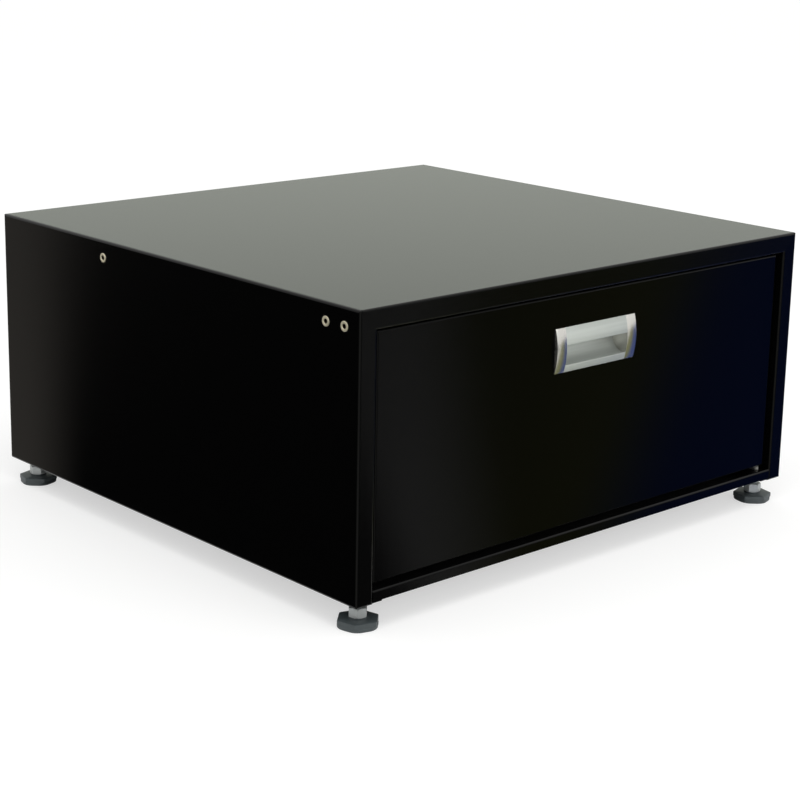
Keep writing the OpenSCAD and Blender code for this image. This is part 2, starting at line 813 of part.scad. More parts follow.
module drawer_bottom() {
    half = box_hx - sheet;
    color("#1b1c1f") {
        block([-half, pan_y1 + sheet, box_z0 + sheet], [half, box_y1, box_z0 + 2 * sheet]);
        // between the flanges of the sides it reaches the drawer front
        block([box_flange - half, pan_y1, box_z0 + sheet], [half - box_flange, box_y1, box_z0 + 2 * sheet]);
    }
}

module drawer_screws() {
    color("#3a3a3c") for (s = [-1, 1], z = box_screw_rows())
        pan_screw(s * box_screw_x, pan_y1 + sheet, z, box_screw_len);
}

// ---------- pull ----------

// Full face of the pull in section (y, z), from the curve to the drawer front
module face_disc(r) {
    intersection() {
        translate([face_r - pull_bulge, 0]) circle(r, $fn = 180);
        rect(-pull_bulge - over, -pull_h / 2, 0, pull_h / 2);
    }
}

// Band of the face between two heights
module face_band(z0, z1, wall) {
    intersection() {
        difference() {
            face_disc(face_r);
            translate([face_r - pull_bulge, 0]) circle(face_r - wall, $fn = 180);
        }
        rect(-pull_bulge - over, z0, over, z1);
    }
}

// Finger cup in section, outer or inner form
module cup_form(inset) {
    intersection() {
        translate([cup_cy, cup_cz]) circle(cup_r - inset, $fn = 96);
        rect(-cup_overlap, -cup_r, cup_r, 1.5 * cup_r);
    }
}

module pull_profile() {
    color("#c3c6c4") translate([0, pan_y0, pull_z]) along_x(-profile_hx, profile_hx) {
        face_band(pull_h / 2 - upper_lip, pull_h / 2, face_wall);
        face_band(-pull_h / 2, lower_lip - pull_h / 2, face_wall);
        difference() {
            cup_form(0);
            translate([cup_cy, cup_cz]) circle(cup_r - pull_wall, $fn = 96);
        }
    }
}

module pull_cap() {
    color("#d5d7da") translate([0, pan_y0, pull_z]) difference() {
        union() {
            along_x(-pull_hx, -profile_hx) face_band(-pull_h / 2, pull_h / 2, face_wall);
            along_x(-pull_hx, cap_wall - pull_hx) face_disc(face_r);
            along_x(-profile_hx - cap_wall, -profile_hx) {
                face_disc(face_r);
                cup_form(0);
            }
            intersection() {
                along_x(-pull_hx, -profile_hx) face_disc(face_r);
                rod_y(-pull_screw_x, -pull_bulge, 0, 0, boss_r);
            }
        }
        rod_y(-pull_screw_x, face_wall - pull_bulge, over, 0, screw_r + fit);
    }
}

module pull_screws() {
    color("#9a9c9f") for (s = [-1, 1])
        pan_screw(s * pull_screw_x, pan_y0 + sheet, pull_z, sheet + pull_bulge - pull_screw_short);
}

// ---------- feet ----------

// Moves a foot's parts under its plate: column -1 is left, row 0 is the front
module at_foot(column, row) {
    translate([column * (x_out - foot_side), foot_rows()[row], 0]) children();
}

// Bar between two opposite faces of the pad's hexagon, which slope in at the top
module pad_bar(a) {
    z0 = pad_rim_h - over;
    z1 = pad_rim_h + pad_hex_h;
    rotate(a) along_x(-pad_flats, pad_flats) polygon([
        [-pad_flats / 2, z0], [pad_flats / 2, z0], [pad_flats / 2, z1],
        [pad_top_flats / 2, z1 + pad_slope_h], [-pad_top_flats / 2, z1 + pad_slope_h], [-pad_flats / 2, z1]
    ]);
}

module foot_pad(turn) {
    color("#5d6668") difference() {
        union() {
            rotate_extrude() difference() {
                rect(0, 0, pad_dia / 2, pad_rim_h);
                corner_cut(pad_dia / 2, 0, 1, -1, pad_edge_r);
                corner_cut(pad_dia / 2, pad_rim_h, 1, 1, pad_edge_r);
            }
            rotate(turn) intersection() {
                pad_bar(0);
                pad_bar(60);
                pad_bar(120);
            }
            translate([0, 0, pad_rim_h]) cylinder(r = pad_boss_r, h = pad_top - pad_rim_h);
        }
        // seat of the stud's disc, and the neck's hole
        translate([0, 0, stud_disc_z0 - fit])
            cylinder(r = stud_disc_r + fit, h = stud_disc_z1 - stud_disc_z0 + 2 * fit);
        translate([0, 0, stud_disc_z0]) cylinder(r = stud_neck_r + fit, h = pad_top);
    }
}

// Stud with its disc, neck, hexagon and a thread of rings, one each pitch
module foot_stud(turn) {
    r = stud_dia / 2 - fit;
    turns = floor((thread_len - pitch) / pitch);
    color("#c2c6c5") {
        translate([0, 0, stud_disc_z0]) cylinder(r = stud_disc_r, h = stud_disc_z1 - stud_disc_z0);
        translate([0, 0, stud_disc_z0]) cylinder(r = stud_neck_r, h = hex_z0 - stud_disc_z0 + over);
        intersection() {
            translate([0, 0, hex_z0]) rotate(turn) cylinder(r = hex_flats / sqrt(3), h = hex_h, $fn = 6);
            // turned chamfers on the hexagon's corners
            rotate_extrude() polygon([
                [0, hex_z0], [hex_flats / 2, hex_z0], [hex_flats / 2 + 1.8, hex_z0 + 1],
                [hex_flats / 2 + 1.8, hex_z1 - 1], [hex_flats / 2, hex_z1], [0, hex_z1]
            ]);
        }
        rotate_extrude() polygon(concat(
            [[0, hex_z1 - over], [r - root_depth, hex_z1 - over]],
            [for (k = [0 : turns - 1], p = [[0, 0], [root_depth, 0.45], [root_depth, 0.55]])
                [r - root_depth + p[0], hex_z1 + (k + p[1]) * pitch]],
            [[r - root_depth, hex_z1 + turns * pitch], [r - root_depth, stud_z1], [0, stud_z1]]));
    }
}

// Turns of the pads and studs about their axes, as they happen to stand
front_left_turn = -14;
rear_left_turn = 16;
front_right_turn = 16;
rear_right_turn = 0;

// ---------- nodes ----------

top_panel();
side_panel();  // side_panel_left
on_right() side_panel();  // side_panel_right
back_panel();
back_screws();
front_sill();
rear_cross_rail();
top_hat(0);  // top_hat_front
top_hat(1);  // top_hat_middle
top_hat(2);  // top_hat_rear
foot_plate(0);  // foot_plate_front_left
on_right() foot_plate(0);  // foot_plate_front_right
foot_plate(1);  // foot_plate_rear_left
on_right() foot_plate(1);  // foot_plate_rear_right
slide_carrier();  // slide_carrier_left
on_right() slide_carrier();  // slide_carrier_right
rivet_nuts();  // rivet_nuts_left
on_right() rivet_nuts();  // rivet_nuts_right
sill_bumper();
slide_outer();  // slide_outer_left
on_right() slide_outer();  // slide_outer_right
slide_middle();  // slide_middle_left
on_right() slide_middle();  // slide_middle_right
slide_inner();  // slide_inner_left
on_right() slide_inner();  // slide_inner_right
outer_cage();  // outer_cage_left
on_right() outer_cage();  // outer_cage_right
inner_cage();  // inner_cage_left
on_right() inner_cage();  // inner_cage_right
outer_balls();  // outer_balls_left
on_right() outer_balls();  // outer_balls_right
inner_balls();  // inner_balls_left
on_right() inner_balls();  // inner_balls_right
carrier_screws();
runner_screws();
drawer_front();
drawer_liner();
drawer_side();  // drawer_side_left
on_right() drawer_side();  // drawer_side_right
drawer_back();
drawer_bottom();
drawer_screws();
pull_profile();
pull_cap();  // pull_cap_left
on_right() pull_cap();  // pull_cap_right
pull_screws();
at_foot(-1, 0) foot_pad(front_left_turn);  // foot_pad_front_left
at_foot(1, 0) foot_pad(front_right_turn);  // foot_pad_front_right
at_foot(-1, 1) foot_pad(rear_left_turn);  // foot_pad_rear_left
at_foot(1, 1) foot_pad(rear_right_turn);  // foot_pad_rear_right
at_foot(-1, 0) foot_stud(front_left_turn);  // foot_stud_front_left
at_foot(1, 0) foot_stud(front_right_turn);  // foot_stud_front_right
at_foot(-1, 1) foot_stud(rear_left_turn);  // foot_stud_rear_left
at_foot(1, 1) foot_stud(rear_right_turn);  // foot_stud_rear_right
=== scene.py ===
import math

import bmesh
import bpy
from mathutils import Matrix, Vector


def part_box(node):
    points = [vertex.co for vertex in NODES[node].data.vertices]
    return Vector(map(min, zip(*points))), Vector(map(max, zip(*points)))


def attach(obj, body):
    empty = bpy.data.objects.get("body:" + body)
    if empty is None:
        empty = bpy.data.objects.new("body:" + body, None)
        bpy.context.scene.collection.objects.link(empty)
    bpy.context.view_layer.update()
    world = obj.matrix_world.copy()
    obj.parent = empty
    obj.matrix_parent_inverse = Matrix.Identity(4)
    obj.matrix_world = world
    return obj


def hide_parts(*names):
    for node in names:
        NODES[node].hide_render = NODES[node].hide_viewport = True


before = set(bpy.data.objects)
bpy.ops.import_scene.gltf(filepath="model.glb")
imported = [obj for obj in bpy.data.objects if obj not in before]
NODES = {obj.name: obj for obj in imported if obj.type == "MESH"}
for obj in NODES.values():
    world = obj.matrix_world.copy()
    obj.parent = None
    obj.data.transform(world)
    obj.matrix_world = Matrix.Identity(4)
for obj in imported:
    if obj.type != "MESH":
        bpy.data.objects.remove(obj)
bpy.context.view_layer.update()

bl_info = {
    "name": "Washer pedestal drawer",
    "version": (1, 0, 0),
    "blender": (4, 5, 0),
    "location": "3D View > Sidebar > Pedestal",
    "description": "Gives the pedestal its powder coat, plating, pull, feet and welds, and sets the stage",
    "category": "Object",
}

MM = 0.001
FEET = ("front_left", "front_right", "rear_left", "rear_right")


# ---------- sizes and colours that a user would change ----------

class CoatProps(bpy.types.PropertyGroup):
    coat: bpy.props.StringProperty(
        name="Powder coat", description="Hex colour of the black powder coat", default="#030303")
    # bend is the colour of the painted highlight along the bends
    bend: bpy.props.StringProperty(
        name="Bends", description="Hex colour of the coat where it thins over a bend", default="#20201f")
    inside: bpy.props.StringProperty(
        name="Inside", description="Hex colour of the thinner coat inside the cabinet and drawer",
        default="#0b0b0c")
    face_on: bpy.props.StringProperty(
        name="Face-on gloss", description="Hex tint of what the coat mirrors where it is seen face on",
        default="#0c0c0c")
    dust: bpy.props.StringProperty(
        name="Dust", description="Hex colour of the fine dust on the top sheet", default="#6f6f6a")
    peel: bpy.props.FloatProperty(
        name="Orange peel", description="Distance between the coat's fine waves",
        default=2.2 * MM, min=0.5 * MM, max=10 * MM, unit="LENGTH", precision=4)
    wave: bpy.props.FloatProperty(
        name="Sheet waves", description="Distance between the sheet's long shallow waves",
        default=160 * MM, min=40 * MM, max=500 * MM, unit="LENGTH")


class MetalProps(bpy.types.PropertyGroup):
    aluminium: bpy.props.StringProperty(
        name="Aluminium", description="Hex colour of the pull's satin profile", default="#c6cbc5")
    brushed: bpy.props.StringProperty(
        name="Brushed bands", description="Hex colour of the profile's darker brushed bands",
        default="#a0a5a0")
    chrome: bpy.props.StringProperty(
        name="Chrome", description="Hex colour of the plated end caps", default="#cfcdc7")
    zinc: bpy.props.StringProperty(
        name="Bright zinc", description="Hex colour of the slides, studs and screws", default="#c3c7c6")
    black_zinc: bpy.props.StringProperty(
        name="Black zinc", description="Hex colour of the back's and the drawer's screws", default="#2a2a2b")
    balls: bpy.props.StringProperty(
        name="Balls", description="Hex colour of the slides' polished balls", default="#d9dcde")
    passivated: bpy.props.StringProperty(
        name="Yellow zinc", description="Hex colour of the rivet nuts", default="#e4dcc0")
    # colour of the threads: dark oil, and painted shade deep in the bore
    oily_and_shaded_thread: bpy.props.StringProperty(
        name="Oily thread", description="Hex colour of the rivet nuts' threads", default="#3a2410")
    die_line: bpy.props.FloatProperty(
        name="Die lines", description="Distance between the lines along the extruded profile",
        default=0.7 * MM, min=0.2 * MM, max=3 * MM, unit="LENGTH", precision=4)


class PlasticProps(bpy.types.PropertyGroup):
    pads: bpy.props.StringProperty(
        name="Foot pads", description="Hex colour of the moulded pads", default="#3f4648")
    bumper: bpy.props.StringProperty(
        name="Bumper", description="Hex colour of the nylon bumper on the sill", default="#8e8e89")


class StageProps(bpy.types.PropertyGroup):
    floor: bpy.props.StringProperty(
        name="Floor", description="Hex colour of the floor", default="#f7f7f6")
    floor_seen: bpy.props.StringProperty(
        name="Floor to the eye", description="Hex colour of the floor's paint where it is looked at",
        default="#bcbcbb")
    floor_glow: bpy.props.FloatProperty(
        name="Floor glow", description="Light that the floor adds of its own where it is looked at",
        default=0.55, min=0, max=1)
    azimuth: bpy.props.FloatProperty(
        name="Azimuth", description="Where the camera stands round the pedestal; 0 looks along +Y",
        default=math.radians(-42.35), subtype="ANGLE")
    elevation: bpy.props.FloatProperty(
        name="Elevation", description="Angle of the camera above the horizon",
        default=math.radians(13.81), subtype="ANGLE")
    roll: bpy.props.FloatProperty(
        name="Roll", description="Turn of the camera about its own line of sight",
        default=math.radians(1.13), subtype="ANGLE")
    distance: bpy.props.FloatProperty(
        name="Distance", description="Distance of the camera from the point it looks at",
        default=2.329, min=0.5, max=10, unit="LENGTH")
    lens: bpy.props.FloatProperty(
        name="Lens", description="Focal length on a 36 mm sensor", default=86.26, min=20, max=200)
    aim_x: bpy.props.FloatProperty(
        name="Aim across", description="Distance of that point to the right of the middle",
        default=7.4 * MM, unit="LENGTH", precision=4)
    aim_z: bpy.props.FloatProperty(
        name="Aim height", description="Height of that point over the floor",
        default=188.7 * MM, unit="LENGTH", precision=4)
    shift: bpy.props.FloatProperty(
        name="Shift", description="Upward shift of the camera's frame", default=-0.075)


PROPS = {"ped_coat": CoatProps, "ped_metal": MetalProps, "ped_plastic": PlasticProps,
         "ped_stage": StageProps}


def props(name):
    """One of the property groups of the scene."""
    return getattr(bpy.context.scene, name)


# ---------- node and material helpers ----------

# Sockets of a Mix node that mixes colours: three going in, and the one going out
MIX_FACTOR, MIX_A, MIX_B = 0, 6, 7
MIX_RESULT = 2


def linear(hex_colour):
    """A hex sRGB colour as linear red, green, blue and alpha."""
    parts = [int(hex_colour[i:i + 2], 16) / 255 for i in (1, 3, 5)]
    return [p / 12.92 if p <= 0.04045 else ((p + 0.055) / 1.055) ** 2.4 for p in parts] + [1.0]


def scaled(hex_colour, factor):
    """A hex colour made darker or lighter by a factor."""
    return [min(1.0, part * factor) for part in linear(hex_colour)[:3]] + [1.0]


def add(tree, kind, settings=None, values=None, links=None):
    """Adds a node with its settings, its sockets' values and what is linked into them."""
    made = tree.nodes.new(kind)
    for name, value in (settings or {}).items():
        setattr(made, name, value)
    for name, value in (values or {}).items():
        made.inputs[name].default_value = value
    for name, source in (links or {}).items():
        tree.links.new(source, made.inputs[name])
    return made


def new_material(name):
    """An empty material, its node tree and its object coordinates."""
    material = bpy.data.materials.new(name)
    material.use_nodes = True
    material.node_tree.nodes.clear()
    place = add(material.node_tree, "ShaderNodeTexCoord").outputs["Object"]
    return material, material.node_tree, place


def finish_material(tree, surface):
    """Links a shader to the material's output."""
    add(tree, "ShaderNodeOutputMaterial", links={"Surface": surface.outputs[0]})


def powder_coat(name, colour, roughness, bend=0.0, dust=0.0, waviness=0.3):
    """Black polyester powder coat, sprayed and baked on folded sheet: a closed glossy film with a
    fine orange peel. Its binder is clear and its carbon black swallows what enters, so it mirrors
    only at a flat angle. Its bends carry a painted highlight, and dust settles on what is level."""
    coat = props("ped_coat")
    material, tree, place = new_material(name)
    peel = add(tree, "ShaderNodeTexNoise", values={"Scale": 1 / coat.peel, "Detail": 2.0, "Roughness": 0.5},
               links={"Vector": place})
    waves = add(tree, "ShaderNodeTexNoise", values={"Scale": 1 / coat.wave, "Detail": 1.0},
                links={"Vector": place})
    long_bump = add(tree, "ShaderNodeBump", values={"Strength": waviness, "Distance": 0.25 * MM},
                    links={"Height": waves.outputs["Fac"]})
    bump = add(tree, "ShaderNodeBump", values={"Strength": 0.4, "Distance": 0.006 * MM},
               links={"Height": peel.outputs["Fac"], "Normal": long_bump.outputs["Normal"]})
    rough = add(tree, "ShaderNodeMapRange",
                values={"From Min": 0.3, "From Max": 0.7,
                        "To Min": roughness * 0.9, "To Max": roughness * 1.1},
                links={"Value": peel.outputs["Fac"]})
    # mask of the painted highlight: 0 on the flat sheet and bend in the middle of a bend, from how far the
    # surface turns off the axes
    turned = add(tree, "ShaderNodeVectorMath", settings={"operation": "ABSOLUTE"},
                 links={0: place.node.outputs["Normal"]})
    parts = add(tree, "ShaderNodeSeparateXYZ", links={0: turned.outputs[0]})
    larger = add(tree, "ShaderNodeMath", settings={"operation": "MAXIMUM"},
                 links={0: parts.outputs[0], 1: parts.outputs[1]})
    largest = add(tree, "ShaderNodeMath", settings={"operation": "MAXIMUM"},
                  links={0: larger.outputs[0], 1: parts.outputs[2]})
    painted_bend_highlight = add(tree, "ShaderNodeMapRange",
                    values={"From Min": 0.995, "From Max": 0.80, "To Max": bend},
                    links={"Value": largest.outputs[0]})
    # painted highlight: the coat's colour is paled towards the bend colour over each bend
    colours = add(tree, "ShaderNodeMix", settings={"data_type": "RGBA"},
                  values={MIX_A: linear(colour), MIX_B: linear(coat.bend)},
                  links={MIX_FACTOR: painted_bend_highlight.outputs["Result"]})
    # dust lies in grains of 2 to 4 mm, wider than real ones so that they show
    grain = add(tree, "ShaderNodeTexNoise", values={"Scale": 1 / (3 * MM), "Detail": 3.0, "Roughness": 0.6},
                links={"Vector": place})
    film = add(tree, "ShaderNodeMapRange",
               values={"From Min": 0.3, "From Max": 0.7, "To Min": dust * 0.3, "To Max": dust * 1.7},
               links={"Value": grain.outputs["Fac"]})
    level = add(tree, "ShaderNodeMath", settings={"operation": "MULTIPLY"},
                links={0: film.outputs["Result"], 1: parts.outputs[2]})
    dusty = add(tree, "ShaderNodeMix", settings={"data_type": "RGBA"}, values={MIX_B: linear(coat.dust)},
                links={MIX_FACTOR: level.outputs[0], MIX_A: colours.outputs[MIX_RESULT]})
    shader = add(tree, "ShaderNodeBsdfPrincipled",
                 values={"IOR": 1.45, "Specular Tint": linear(coat.face_on)},
                 links={"Base Color": dusty.outputs[MIX_RESULT], "Normal": bump.outputs["Normal"],
                        "Roughness": rough.outputs["Result"]})
    finish_material(tree, shader)
    return material


def satin_aluminium():
    """Extruded aluminium, brushed along its length and anodised: pale grey, satin, with fine lines
    that run the way the profile left the die."""
    metal = props("ped_metal")
    material, tree, place = new_material("satin_anodised_aluminium")
    stretched = add(tree, "ShaderNodeMapping", values={"Scale": (0.02, 1.0, 1.0)}, links={"Vector": place})
    lines = add(tree, "ShaderNodeTexNoise",
                values={"Scale": 1 / metal.die_line, "Detail": 3.0, "Roughness": 0.6},
                links={"Vector": stretched.outputs["Vector"]})
    # brushing leaves wider light and dark bands of about 5 mm over the fine lines
    bands = add(tree, "ShaderNodeTexNoise", values={"Scale": 1 / (5 * MM), "Detail": 1.0},
                links={"Vector": stretched.outputs["Vector"]})
    shade = add(tree, "ShaderNodeMix", settings={"data_type": "RGBA"},
                values={MIX_A: linear(metal.brushed), MIX_B: linear(metal.aluminium)},
                links={MIX_FACTOR: bands.outputs["Fac"]})
    tone = add(tree, "ShaderNodeMapRange", values={"To Min": 0.42, "To Max": 0.6},
               links={"Value": lines.outputs["Fac"]})
    bump = add(tree, "ShaderNodeBump", values={"Strength": 0.35, "Distance": 0.012 * MM},
               links={"Height": lines.outputs["Fac"]})
    shader = add(tree, "ShaderNodeBsdfPrincipled",
                 values={"Metallic": 0.5},
                 links={"Base Color": shade.outputs[MIX_RESULT], "Normal": bump.outputs["Normal"],
                        "Roughness": tone.outputs["Result"]})
    finish_material(tree, shader)
    return material


def chrome_plating():
    """Bright chrome plated on moulded ABS: a mirror with a faint ripple from the moulding."""
    metal = props("ped_metal")
    material, tree, place = new_material("chrome_plated_abs")
    ripple = add(tree, "ShaderNodeTexNoise", values={"Scale": 1 / (14 * MM), "Detail": 1.0},
                 links={"Vector": place})
    bump = add(tree, "ShaderNodeBump", values={"Strength": 0.25, "Distance": 0.05 * MM},
               links={"Height": ripple.outputs["Fac"]})
    rough = add(tree, "ShaderNodeMapRange", values={"To Min": 0.17, "To Max": 0.27},
                links={"Value": ripple.outputs["Fac"]})
    shader = add(tree, "ShaderNodeBsdfPrincipled",
                 values={"Base Color": linear(metal.chrome), "Metallic": 0.95},
                 links={"Normal": bump.outputs["Normal"], "Roughness": rough.outputs["Result"]})
    finish_material(tree, shader)
    return material


def zinc_plating(name, colour, roughness, metallic=1.0):
    """Zinc electroplated on drawn or rolled steel: cool satin metal, cloudy at a few millimetres,
    with short scratches along the way it was rolled."""
    material, tree, place = new_material(name)
    cloud = add(tree, "ShaderNodeTexNoise", values={"Scale": 1 / (6 * MM), "Detail": 4.0},
                links={"Vector": place})
    rolled = add(tree, "ShaderNodeMapping", values={"Scale": (1.0, 0.04, 1.0)}, links={"Vector": place})
    scratch = add(tree, "ShaderNodeTexNoise", values={"Scale": 1 / (0.8 * MM), "Detail": 2.0},
                  links={"Vector": rolled.outputs["Vector"]})
    base = add(tree, "ShaderNodeMix", settings={"data_type": "RGBA"},
               values={MIX_A: scaled(colour, 0.86), MIX_B: linear(colour)},
               links={MIX_FACTOR: cloud.outputs["Fac"]})
    rough = add(tree, "ShaderNodeMapRange",
                values={"To Min": roughness * 0.75, "To Max": roughness * 1.3},
                links={"Value": cloud.outputs["Fac"]})
    bump = add(tree, "ShaderNodeBump", values={"Strength": 0.3, "Distance": 0.01 * MM},
               links={"Height": scratch.outputs["Fac"]})
    shader = add(tree, "ShaderNodeBsdfPrincipled", values={"Metallic": metallic},
                 links={"Base Color": base.outputs[MIX_RESULT], "Normal": bump.outputs["Normal"],
                        "Roughness": rough.outputs["Result"]})
    finish_material(tree, shader)
    return material


def moulded_plastic(name, colour, roughness, grain):
    """Injection-moulded plastic: an even colour with faint flow clouds and the spark-eroded grain
    of the mould."""
    material, tree, place = new_material(name)
    flow = add(tree, "ShaderNodeTexNoise", values={"Scale": 1 / (18 * MM), "Detail": 3.0},
               links={"Vector": place})
    spark = add(tree, "ShaderNodeTexNoise", values={"Scale": 1 / grain, "Detail": 2.0},
                links={"Vector": place})
    base = add(tree, "ShaderNodeMix", settings={"data_type": "RGBA"},
               values={MIX_A: scaled(colour, 0.82), MIX_B: scaled(colour, 1.1)},
               links={MIX_FACTOR: flow.outputs["Fac"]})
    bump = add(tree, "ShaderNodeBump", values={"Strength": 0.4, "Distance": 0.02 * MM},
               links={"Height": spark.outputs["Fac"]})
    rough = add(tree, "ShaderNodeMapRange",
                values={"To Min": roughness * 0.9, "To Max": roughness * 1.15},
                links={"Value": spark.outputs["Fac"]})
    shader = add(tree, "ShaderNodeBsdfPrincipled", values={"IOR": 1.46},
                 links={"Base Color": base.outputs[MIX_RESULT], "Normal": bump.outputs["Normal"],
                        "Roughness": rough.outputs["Result"]})
    finish_material(tree, shader)
    return material


def dress(material, *names):
    """Gives CAD nodes a material, and leaves their meshes alone."""
    for name in names:
        data = NODES[name].data
        data.materials.clear()
        data.materials.append(material)


def pair(name):
    """The names of a part's left and right node."""
    return [f"{name}_left", f"{name}_right"]


# ---------- pieces ----------

SHARP = math.radians(30)    # an edge that turns by more than this is a corner, and not part of a curve


def new_piece(name, bm, material, sharp=SHARP):
    """Makes a bmesh an object, smooth except at edges that turn by more than an angle."""
    bmesh.ops.recalc_face_normals(bm, faces=bm.faces)
    mesh = bpy.data.meshes.new(name)
    bm.to_mesh(mesh)
    bm.free()
    mesh.shade_smooth()
    mesh.set_sharp_from_angle(angle=sharp)
    mesh.materials.append(material)
    piece = bpy.data.objects.new(name, mesh)
    bpy.context.scene.collection.objects.link(piece)
    return piece


HALF_TURN = math.radians(30)    # half of what a hexagon turns by at a corner

# Levels of a pad from the middle of its underside, over the rim, to the seat of the stud's disc:
# width across flats, radius of the upright corners and height, in mm
PAD_LEVELS = ((28.0, 13.0, 0.9), (29.0, 13.5, 0.0), (40.3, 12.5, 0.0), (41.3, 12.8, 0.4), (41.7, 13.0, 0.9),
              (41.7, 13.0, 3.4), (41.2, 12.8, 3.8), (40.8, 9.0, 4.0), (40.5, 3.4, 4.1), (40.3, 2.4, 4.5),
              (40.3, 2.4, 8.2), (40.0, 2.3, 8.6), (39.2, 2.2, 8.8), (26.0, 2.2, 9.3), (24.5, 2.1, 9.4),
              (20.4, 10.1, 9.4), (20.0, 9.9, 9.6), (20.0, 9.9, 10.15), (19.5, 9.6, 10.4), (10.7, 5.3, 10.4),
              (10.2, 5.05, 10.2), (10.2, 5.05, 8.05), (14.1, 7.0, 8.05), (14.1, 7.0, 3.95))
# How far each pad happens to be turned on its stud, in degrees, in the order of FEET
PAD_TURNS = (-16.5, 16, 16, 0)


def hexagon(bm, flats, corner, place):
    """Edges of a hexagon with rounded corners, in its own plane."""
    made = bmesh.ops.create_circle(bm, cap_ends=True, segments=6, radius=flats / 2 / math.cos(HALF_TURN),
                                   matrix=place)
    made = bmesh.ops.bevel(bm, geom=made["verts"], offset=corner * math.tan(HALF_TURN),
                           offset_type="OFFSET", segments=5, profile=0.5, affect="VERTICES", material=-1)
    face = made["verts"][0].link_faces[0]
    edges = list(face.edges)
    bmesh.ops.delete(bm, geom=[face], context="FACES_ONLY")
    return edges


def pad(foot, turn, material):
    """A moulded pad: round-cornered rim, hexagon with sloping top, and a round boss for the stud."""
    low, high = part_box(f"foot_pad_{foot}")
    centre = Matrix.Translation(((low[0] + high[0]) / 2, (low[1] + high[1]) / 2, 0))
    centre = centre @ Matrix.Rotation(turn + HALF_TURN, 4, "Z")
    bm = bmesh.new()
    rings = [hexagon(bm, flats * MM, corner * MM, centre @ Matrix.Translation((0, 0, z * MM)))
             for flats, corner, z in PAD_LEVELS]
    for lower, upper in zip(rings, rings[1:]):
        bmesh.ops.bridge_loops(bm, edges=lower + upper)
    for end in (rings[0], rings[-1]):
        bmesh.ops.contextual_create(bm, geom=end)
    piece = new_piece(f"pad_{foot}_moulded", bm, material, sharp=math.radians(28))
    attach(piece, f"pad_{foot}")
    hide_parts(f"foot_pad_{foot}")


# Outline of a rivet nut: distance outside the side panel, and radius, in mm
NUT_OUTLINE = ((0.8, 2.95), (0.8, 4.9), (0.55, 5.3), (0.0, 5.4), (0.0, 4.4), (-14.9, 4.4), (-14.9, 2.55),
               (0.3, 2.55))
NUT_PITCH = 28 * MM         # between the two nuts at the front
THREAD_RADIUS = 3 * MM      # faces nearer to the nut's axis than this are thread,
THREAD_MOUTH = 0.2 * MM     # up to this far outside the panel


def rivet_nuts(side, plated, thread):
    """The rivet nuts of one side panel: flanges with a chamfered mouth, and threads inside, dark with oil
    and with painted shade of the bore.
    """
    out = -1 if side == "left" else 1
    low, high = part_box(f"rivet_nuts_{side}")
    panel = out * (max(abs(low[0]), abs(high[0])) - NUT_OUTLINE[0][0] * MM)
    z = (low[2] + high[2]) / 2
    flange = (high[2] - low[2]) / 2
    front = low[1] + flange
    places = (front, front + NUT_PITCH, high[1] - flange)
    bm = bmesh.new()
    for y in places:
        verts = [bm.verts.new((panel + out * u * MM, y, z + r * MM)) for u, r in NUT_OUTLINE]
        edges = [bm.edges.new((a, b)) for a, b in zip(verts, verts[1:] + verts[:1])]
        bmesh.ops.spin(bm, geom=verts + edges, cent=(panel, y, z), axis=(1, 0, 0), dvec=(0, 0, 0),
                       angle=math.tau, steps=48, use_merge=True)
    piece = new_piece(f"rivet_nuts_{side}_turned", bm, plated)
    piece.data.materials.append(thread)
    # faces of the bore get the thread colour: oil, and painted shade of the bore
    for face in piece.data.polygons:
        off_axis = math.hypot(min(abs(face.center[1] - y) for y in places), face.center[2] - z)
        if abs(face.center[0]) < abs(panel) + THREAD_MOUTH and off_axis < THREAD_RADIUS:
            face.material_index = 1
    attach(piece, "cabinet")
    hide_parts(f"rivet_nuts_{side}")


WELD_RADIUS = 1.7 * MM
WELD_INSET = 1 * MM         # from the sill's front to where its weld starts
WELD_LENGTH = 14 * MM
WELD_STEPS = 24
WELD_TIP = 0.35             # radius of the weld's ends, as a share of its radius
WELD_RIPPLE = 0.12          # height of the ripples, as a share of the radius
WELD_PHASE = 2.1            # how far the ripples move on from one step to the next, in radians


def weld(name, start, end, material):
    """A rippled weld bead along a line, thin at both ends."""
    start, end = Vector(start), Vector(end)
    turn = (end - start).to_track_quat("Z", "Y").to_matrix().to_4x4()
    bm = bmesh.new()
    rings = []
    for step in range(WELD_STEPS + 1):
        part = step / WELD_STEPS
        size = WELD_RADIUS * (WELD_TIP + (1 - WELD_TIP) * math.sin(math.pi * part) ** 0.5)
        size *= 1 + WELD_RIPPLE * math.cos(WELD_PHASE * step)
        place = Matrix.Translation(start.lerp(end, part)) @ turn
        made = bmesh.ops.create_circle(bm, cap_ends=False, segments=12, radius=size, matrix=place)
        rings.append(list(dict.fromkeys(edge for vert in made["verts"] for edge in vert.link_edges)))
    for lower, upper in zip(rings, rings[1:]):
        bmesh.ops.bridge_loops(bm, edges=lower + upper)
    for tip in (rings[0], rings[-1]):
        bmesh.ops.contextual_create(bm, geom=tip)
    piece = new_piece(name, bm, material, sharp=math.radians(60))
    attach(piece, "cabinet")


MERGE = 0.001 * MM              # corners of a CAD node's triangles that are this near are one
FLAT = math.radians(0.5)        # neighbouring faces that turn by less than this are one


def softened(node, body, material, width):
    """A copy of a CAD node with its sharp edges broken, as tooling and tumbling leave them."""
    bm = bmesh.new()
    bm.from_mesh(NODES[node].data)
    bmesh.ops.remove_doubles(bm, verts=bm.verts, dist=MERGE)
    bmesh.ops.dissolve_limit(bm, angle_limit=FLAT, verts=bm.verts, edges=bm.edges)
    sharp = [edge for edge in bm.edges if edge.is_manifold and edge.calc_face_angle() > SHARP]
    bmesh.ops.bevel(bm, geom=sharp, offset=width, offset_type="OFFSET", segments=2, profile=0.5,
                    affect="EDGES", clamp_overlap=True, material=-1)
    piece = new_piece(f"{node}_softened", bm, material, sharp=math.radians(35))
    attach(piece, body)
    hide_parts(node)


# ---------- operators ----------

